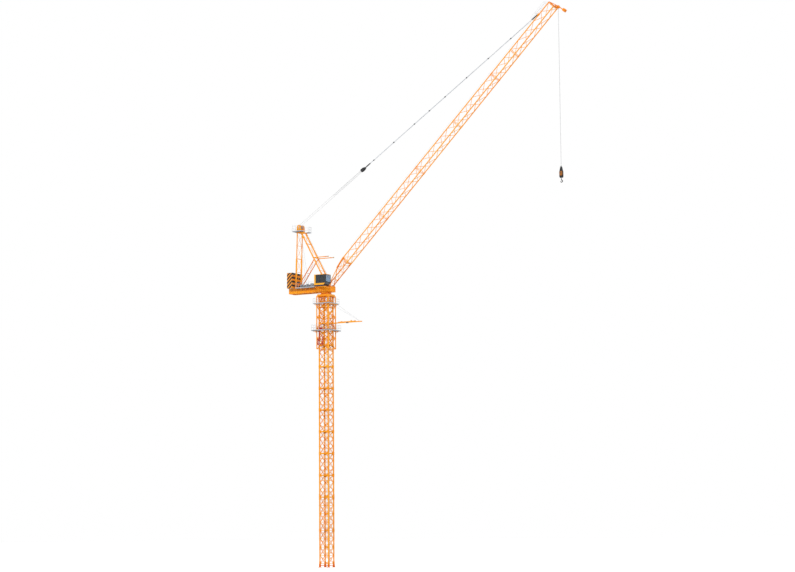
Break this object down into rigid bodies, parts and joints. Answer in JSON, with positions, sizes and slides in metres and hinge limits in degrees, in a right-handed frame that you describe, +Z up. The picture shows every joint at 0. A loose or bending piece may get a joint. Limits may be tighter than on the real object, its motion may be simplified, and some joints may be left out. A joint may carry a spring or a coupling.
{
  "type": "luffing-jib tower crane, 1:10 scale model",
  "caption": "Luffing-jib tower crane with lattice mast, climbing cage, counterweight deck, cab, A-frame, jib, pendant and hook, as a scale model.",
  "frame": {"origin": "middle of the flat sole of the mast's anchor foot at its left near corner", "axes": "+X the way the jib points, +Y to the crane's far side, away from the cab, +Z up along the mast"},
  "size_m": [5.7244, 0.513, 9.9708],
  "materials": {
    "crane_orange": "satin",
    "galvanised_steel": "matt",
    "hydraulic_red": "gloss",
    "counterweight_paint": "matt",
    "winch_grey": "satin",
    "cabinet_grey": "satin",
    "cab_paint": "satin",
    "cab_glass": "gloss",
    "pendant_steel": "satin",
    "wire_rope": "matt",
    "block_black": "satin",
    "hook_plate": "satin"
  },
  "bodies": {
    "mast": {"base_frame": "crane_orange", "mast_base_near": "crane_orange", "mast_base_far": "crane_orange", "mast_base_left": "crane_orange", "mast_base_right": "crane_orange", "mast_shaft_near": "crane_orange", "mast_shaft_far": "crane_orange", "mast_shaft_left": "crane_orange", "mast_shaft_right": "crane_orange", "mast_ladder": "galvanised_steel", "cage_near": "crane_orange", "cage_far": "crane_orange", "cage_left": "crane_orange", "cage_right": "crane_orange", "cage_platform_lower": "galvanised_steel", "cage_platform_upper": "galvanised_steel", "loading_beam": "crane_orange", "climbing_cylinder": "hydraulic_red", "power_pack": "hydraulic_red", "slewing_support": "crane_orange"},
    "upper_works": {"turntable": "crane_orange", "counter_deck": "crane_orange", "deck_walkway": "galvanised_steel", "counterweight_front": "counterweight_paint", "counterweight_rear": "counterweight_paint", "hoist_winch": "winch_grey", "luffing_winch": "winch_grey", "electric_cabinet": "cabinet_grey", "a_frame_front": "crane_orange", "a_frame_rear": "crane_orange", "a_frame_struts": "crane_orange", "a_frame_head": "crane_orange", "a_frame_platform": "galvanised_steel", "a_frame_ladder": "galvanised_steel", "jib_buffers": "crane_orange", "cab_shell": "cab_paint", "cab_glass": "cab_glass"},
    "jib": {"jib_root": "crane_orange", "jib_lower_bottom": "crane_orange", "jib_lower_near": "crane_orange", "jib_lower_far": "crane_orange", "jib_upper_bottom": "crane_orange", "jib_upper_near": "crane_orange", "jib_upper_far": "crane_orange", "jib_head": "crane_orange"},
    "pendant": {"pendant_bars": "pendant_steel", "luffing_block": "block_black", "luffing_falls_block": "wire_rope"},
    "luffing_falls": {"luffing_falls_head": "wire_rope"},
    "hoist": {"hoist_rope": "wire_rope", "hook_block": "hook_plate"},
    "hook": {"hook": "block_black"}
  },
  "joints": [
    {"name": "slew", "type": "hinge", "parent": "mast", "child": "upper_works", "pos_m": [0.0925, 0.0925, 5.045], "axis": [0, 0, 1], "continuous": true},
    {"name": "luff", "type": "hinge", "parent": "upper_works", "child": "jib", "pos_m": [0.2025, 0.0925, 5.19], "axis": [0, -1, 0], "range_deg": [-30, 39]},
    {"name": "pendant_pivot", "type": "hinge", "parent": "jib", "child": "pendant", "pos_m": [4.51585, 0.0925, 9.76357], "axis": [0, -1, 0], "range_deg": [-1.15, 1.45]},
    {"name": "luffing_falls_pivot", "type": "hinge", "parent": "upper_works", "child": "luffing_falls", "pos_m": [-0.4575, 0.0925, 6.336], "axis": [0, -1, 0], "range_deg": [-31.4, 40.7]},
    {"name": "hoist_pivot", "type": "hinge", "parent": "jib", "child": "hoist", "pos_m": [4.91346, 0.0925, 9.84439], "axis": [0, -1, 0], "range_deg": [-39.2, 30.2]},
    {"name": "hook_swivel", "type": "hinge", "parent": "hoist", "child": "hook", "pos_m": [4.91346, 0.0925, 6.76939], "axis": [0, 0, 1], "continuous": true}
  ],
  "couplings": [
    {"joint": "pendant_pivot", "follows": "luff", "ratio": 0.035},
    {"joint": "luffing_falls_pivot", "follows": "luff", "ratio": 1.035},
    {"joint": "hoist_pivot", "follows": "luff", "ratio": -1}
  ]
}
